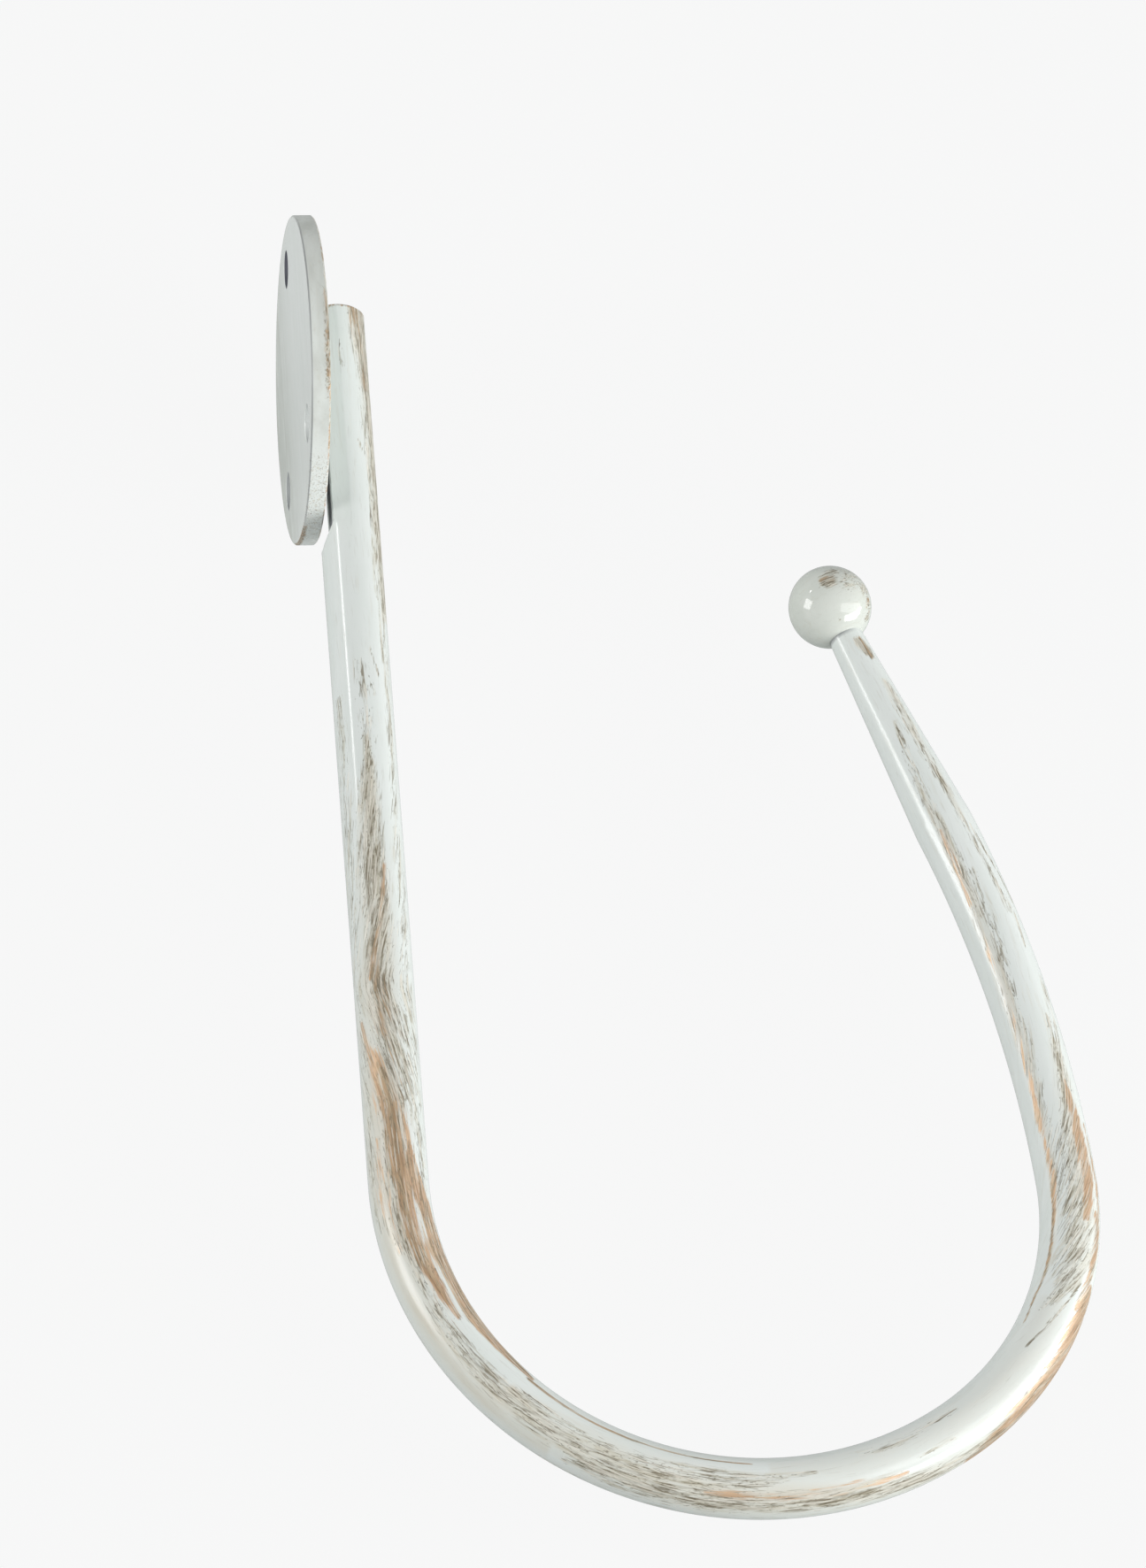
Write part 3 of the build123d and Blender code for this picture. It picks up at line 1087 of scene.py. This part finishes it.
@dataclass
class WallPlate:
    """Round plate, worn on the two edges of its rim, with painted shade on its lower back, its rim and the
    walls of its screw holes.

    A fade is the pair of places, in metres, between which a mask rises from 0 to 1. Those of the rim,
    the front and the hole walls are counted from the plate's radius, its rim's thickness and a hole's
    radius.
    """

    radius: float = 27.5 * MM
    rim_thickness: float = 3.2 * MM
    screw_circle: float = 21.0 * MM
    hole_radius: float = 3.2 * MM
    # each hole's wall takes painted shade of its own strength
    holes: tuple[ScrewHole, ...] = (ScrewHole(2.0, 1.0), ScrewHole(140.0, 0.3), ScrewHole(-122.0, 0.6))
    # the plate's enamel is lighter than the bar's as painted light, and its darker wash is painted shade
    finish: DistressedPaint = DistressedPaint(
        "plate_paint",
        enamel=colour(236, 240, 237),
        enamel_shade=colour(230, 235, 231),
        wash_and_shade_tint=colour(180, 184, 175),
    )
    rim_fade: Span = (-0.5 * MM, -0.15 * MM)
    front_fade: Span = (-1.1 * MM, -0.3 * MM)
    front_edge_fade: Span = (-0.35 * MM, -0.2 * MM)
    back_edge_fade: Span = (0.05 * MM, 0.3 * MM)
    back_face_fade: Span = (0.01 * MM, 0.03 * MM)
    low_side_fade: Span = (-22.0 * MM, 6.0 * MM)
    shank_end_fade: Span = (-27.0 * MM, -18.0 * MM)
    chip_fade: Span = (0.3 * MM, 0.9 * MM)
    seam_start_fade: Span = (0.01 * MM, 0.04 * MM)
    seam_end_fade: Span = (0.20 * MM, 0.32 * MM)
    hole_wall_fade: Span = (0.02 * MM, 0.1 * MM)
    rub: Sector = Sector(106.0, 22.0)
    specks: Sector = Sector(174.0, 32.0)
    chipped_edge: Sector = Sector(190.0, 24.0)
    chip: Sector = Sector(196.0, 20.0)
    bare_edge: Sector = Sector(143.0, 8.0)
    seam: Sector = Sector(108.0, 100.0)
    rim_painted_shade: float = 0.8
    edge_marks: float = 0.6
    speck_marks: float = 0.3
    rub_depth: float = 0.75
    edge_depth: float = 0.42
    chip_depth: float = 0.95
    edge_bareness: float = 0.8
    seam_darkness: float = 0.62

    def spot(self, board: Board) -> Field:
        """Place on the plate from the object's own axes, in metres."""
        return board.add("ShaderNodeTexCoord", {}, {}, "Object")

    def place(self, board: Board) -> Field:
        """Turn the plate's axes to the brushing.

        Args:
            board: node tree that it is built in.

        Returns:
            Brushing coordinates in millimetres, with Z along the shank.
        """
        spot = self.spot(board)
        turned = board.add(
            "ShaderNodeCombineXYZ", {},
            {0: board.part(spot, "X"), 1: board.part(spot, "Z"), 2: board.part(spot, "Y")},
        )
        return board.scaled(turned, (1 / MM, 1 / MM, 1 / MM))

    def layer(self, board: Board, layer: Layer) -> Field:
        """Strength of one layer, strongest on the rim's two edges.

        Args:
            board: node tree that it is built in.
            layer: layer that is asked for.

        Returns:
            The strength, 0 to 1.
        """
        spot = self.spot(board)
        depth, across, upward = (board.part(spot, axis) for axis in "XYZ")
        from_axis = (across * across + upward * upward) ** 0.5
        turn = board.add("ShaderNodeMath", {"operation": "ARCTAN2"}, {0: upward, 1: across})
        outer = from_axis.step(*beside(self.radius, self.rim_fade))
        front = depth.step(*beside(self.rim_thickness, self.front_fade))
        front_rub = outer * front * self.rub.mask(board, turn)
        front_edge = outer * depth.step(*beside(self.rim_thickness, self.front_edge_fade))
        back_edge = outer * (1.0 - depth.step(*self.back_edge_fade))
        chip = outer * (1.0 - depth.step(*self.chip_fade)) * self.chip.mask(board, turn)
        # painted shade: the back face darker towards its lower side, and the rim under the darker wash
        # except at its shank end
        if layer is Layer.VEIL_AND_SHADE:
            back_face = 1.0 - depth.step(*self.back_face_fade)
            low_side = 1.0 - upward.step(*self.low_side_fade)
            return (back_face * low_side).greatest(outer * self.rim_painted_shade * across.step(*self.shank_end_fade))
        if layer is Layer.STROKES:
            back_chips = back_edge * self.chipped_edge.mask(board, turn) * self.edge_marks
            specks = outer * self.specks.mask(board, turn) * self.speck_marks
            return specks.greatest(front_rub.greatest(chip).greatest(back_chips))
        if layer is Layer.UMBER:
            rub = (front_rub * self.rub_depth).greatest(front_edge * self.edge_depth)
            return rub.greatest(chip * self.chip_depth)
        if layer is Layer.BARE:
            return front_edge * self.bare_edge.mask(board, turn) * self.edge_bareness
        # the last layer: a thin dark line along the rim's back edge, and painted shade on the screw holes'
        # walls
        seam = outer * (1.0 - depth.step(*self.seam_end_fade)) * depth.step(*self.seam_start_fade)
        seam = seam * self.seam.mask(board, turn) * self.seam_darkness
        return seam.greatest(self.hole_walls(across, upward))

    def hole_walls(self, across: Field, upward: Field) -> Field:
        """Painted shade on the screw holes' walls.

        Args:
            across: place along the shank in metres.
            upward: place towards the upper side in metres.

        Returns:
            The painted shade, 0 outside the holes.
        """
        fade = beside(self.hole_radius, self.hole_wall_fade)
        walls: Field | None = None
        for hole in self.holes:
            off_y = across - self.screw_circle * math.cos(math.radians(hole.angle))
            off_z = upward - self.screw_circle * math.sin(math.radians(hole.angle))
            apart = (off_y * off_y + off_z * off_z) ** 0.5
            wall = (1.0 - apart.step(*fade)) * hole.darkness
            walls = walls.greatest(wall) if walls else wall
        return walls

    def dress(self) -> None:
        """Give the CAD plate its finish."""
        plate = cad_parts["wall_plate"]
        material = self.finish.make(self.place, self.layer)
        for number in range(len(plate.material_slots)):
            plate.material_slots[number].material = material


# Studio

@dataclass(frozen=True)
class Lamp:
    """Soft rectangular lamp that faces the object, in metres and watts.

    Its direction is from the object to the lamp, and its width lies along across.
    """

    name: str
    direction: Triple
    distance: float
    width: float
    height: float
    power: float
    across: Triple = (0.0, 1.0, 0.0)

    def place(self, target: Vector) -> None:
        """Make the lamp.

        Args:
            target: point that the lamp faces.
        """
        data = bpy.data.lights.new(self.name, "AREA")
        data.shape = "RECTANGLE"
        data.size = self.width
        data.size_y = self.height
        data.energy = self.power
        lamp = bpy.data.objects.new(self.name, data)
        away = Vector(self.direction).normalized()
        up = away.cross(Vector(self.across)).normalized()
        facing = Matrix((up.cross(away), up, away)).transposed().to_4x4()
        lamp.matrix_world = Matrix.Translation(target + away * self.distance) @ facing
        bpy.context.scene.collection.objects.link(lamp)


@dataclass
class Studio:
    """Pale floor, even surroundings and soft lamps."""

    target: Vector
    floor_level: float = -29.0 * MM
    floor_reach: float = 6.0
    backdrop: Colour = colour(247, 247, 247)
    paper: Colour = colour(184, 188, 187)
    surround: float = 0.48
    floor_glow: float = 0.92
    glow_tint: Colour = colour(252, 252, 252)
    backdrop_reflected: float = 1.0
    floor_reflected: float = 0.15
    lamps: tuple[Lamp, ...] = (
        Lamp("key_right", (0.816, -0.300, 0.495), 1.3, 1.6, 0.59, 8.6, (0.577, 0.352, -0.737)),
        Lamp("low_right", (0.85, -0.44, 0.17), 1.3, 1.4, 0.42, 11.8, (0.53, 0.72, -0.45)),
        Lamp("low_left", (-0.97, -0.10, 0.30), 1.3, 1.6, 0.7, 1.5),
        Lamp("fill_left", (-0.946, 0.012, 0.325), 1.25, 0.50, 0.50, 5.2, (0.23, 0.71, 0.66)),
        Lamp("strip_far", (-0.745, 0.50, 0.45), 1.2, 0.10, 0.10, 0.45),
    )

    def build(self) -> None:
        """Make the floor, the surroundings and the lamps."""
        self.build_floor()
        self.build_world()
        for lamp in self.lamps:
            lamp.place(self.target)

    def seen(self, board: Board, reflected: float) -> Field:
        """Find the rays that see the backdrop: direct, passing through and reflected.

        Args:
            board: node tree that it is built in.
            reflected: share of the backdrop that reflected rays see.

        Returns:
            The share that each ray sees, 0 to 1.
        """
        rays = ("Is Camera Ray", "Is Transmission Ray", "Is Glossy Ray")
        camera, through, glossy = (board.add("ShaderNodeLightPath", {}, {}, ray) for ray in rays)
        return camera.greatest(through).greatest(glossy * reflected)

    def build_floor(self) -> None:
        """Make the pale floor, which keeps the object's shadow."""
        reach, level = self.floor_reach, self.floor_level
        signs = ((-1, -1), (1, -1), (1, 1), (-1, 1))
        corners = [Vector((reach * x, reach * y, level)) for x, y in signs]
        floor = make_object("floor", corners, [(0, 1, 2, 3)])
        material = bpy.data.materials.new("floor_paper")
        board = Board(material)
        paper = board.add("ShaderNodeBsdfDiffuse", {}, {"Color": self.paper})
        glow = board.add("ShaderNodeEmission", {}, {"Color": self.glow_tint, "Strength": 1.0})
        share = self.seen(board, self.floor_reflected) * self.floor_glow
        mixed = board.add("ShaderNodeMixShader", {}, {0: share, 1: paper, 2: glow})
        board.close("ShaderNodeOutputMaterial", mixed)
        floor.data.materials.append(material)
        floor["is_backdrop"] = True

    def build_world(self) -> None:
        """Make the even surroundings, seen as a pale backdrop."""
        world = bpy.data.worlds.new("surroundings")
        bpy.context.scene.world = world
        board = Board(world)
        even = board.add(
            "ShaderNodeBackground", {}, {"Color": (1.0, 1.0, 1.0, 1.0), "Strength": self.surround}
        )
        pale = board.add("ShaderNodeBackground", {}, {"Color": self.backdrop, "Strength": 1.0})
        share = self.seen(board, self.backdrop_reflected)
        mixed = board.add("ShaderNodeMixShader", {}, {0: share, 1: even, 2: pale})
        board.close("ShaderNodeOutputWorld", mixed)


@dataclass
class Viewpoint:
    """Camera that looks at the plate's back from above, as in the photograph.

    Angles are in degrees, lengths in metres, the sensor in millimetres and pixels those of the photograph.
    """

    azimuth: float = -14.941
    elevation: float = 60.630
    roll: float = 12.354
    distance: float = 2.5
    focal_pixels: float = 16960.9
    plate_centre_pixel: Span = (331.57, 429.88)
    sensor: float = 36.0
    far_limit: float = 50.0

    def build(self) -> None:
        """Make the camera and set it as the scene's own."""
        azimuth, elevation, roll = (math.radians(a) for a in (self.azimuth, self.elevation, self.roll))
        flat = math.cos(elevation)
        back = Vector((math.sin(azimuth) * flat, -math.cos(azimuth) * flat, math.sin(elevation)))
        level = Vector((math.cos(azimuth), math.sin(azimuth), 0.0))
        upright = back.cross(level)
        right = math.cos(roll) * level + math.sin(roll) * upright
        up = math.cos(roll) * upright - math.sin(roll) * level
        off_x = (self.plate_centre_pixel[0] - PHOTO_WIDTH / 2) * self.distance / self.focal_pixels
        off_y = (PHOTO_HEIGHT / 2 - self.plate_centre_pixel[1]) * self.distance / self.focal_pixels
        data = bpy.data.cameras.new("viewpoint")
        data.sensor_width = self.sensor
        data.lens = self.focal_pixels * self.sensor / PHOTO_HEIGHT
        data.clip_end = self.far_limit
        camera = bpy.data.objects.new("viewpoint", data)
        turned = Matrix((right, up, back)).transposed().to_4x4()
        camera.matrix_world = Matrix.Translation(back * self.distance - right * off_x - up * off_y) @ turned
        bpy.context.scene.collection.objects.link(camera)
        bpy.context.scene.camera = camera


def main() -> None:
    """Build the holdback and its studio in order."""
    logging.basicConfig(level=logging.INFO, format="%(name)s: %(message)s")
    cad_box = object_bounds()
    bpy.context.scene.view_settings.view_transform = "Standard"

    bar = BentBar()
    bar_object = bar.build()
    bar.dress(bar_object)
    log.info("bar built with %d faces", len(bar_object.data.polygons))

    ball = BallFinial(bar)
    ball_object = ball.build()
    ball.dress(ball_object)
    log.info("ball built with %d faces", len(ball_object.data.polygons))

    WallPlate().dress()
    log.info("plate dressed")

    low, high = (Vector(corner) for corner in cad_box)
    Studio((low + high) / 2).build()
    log.info("studio built")
    Viewpoint().build()
    log.info("viewpoint set")


if __name__ == "__main__":
    main()
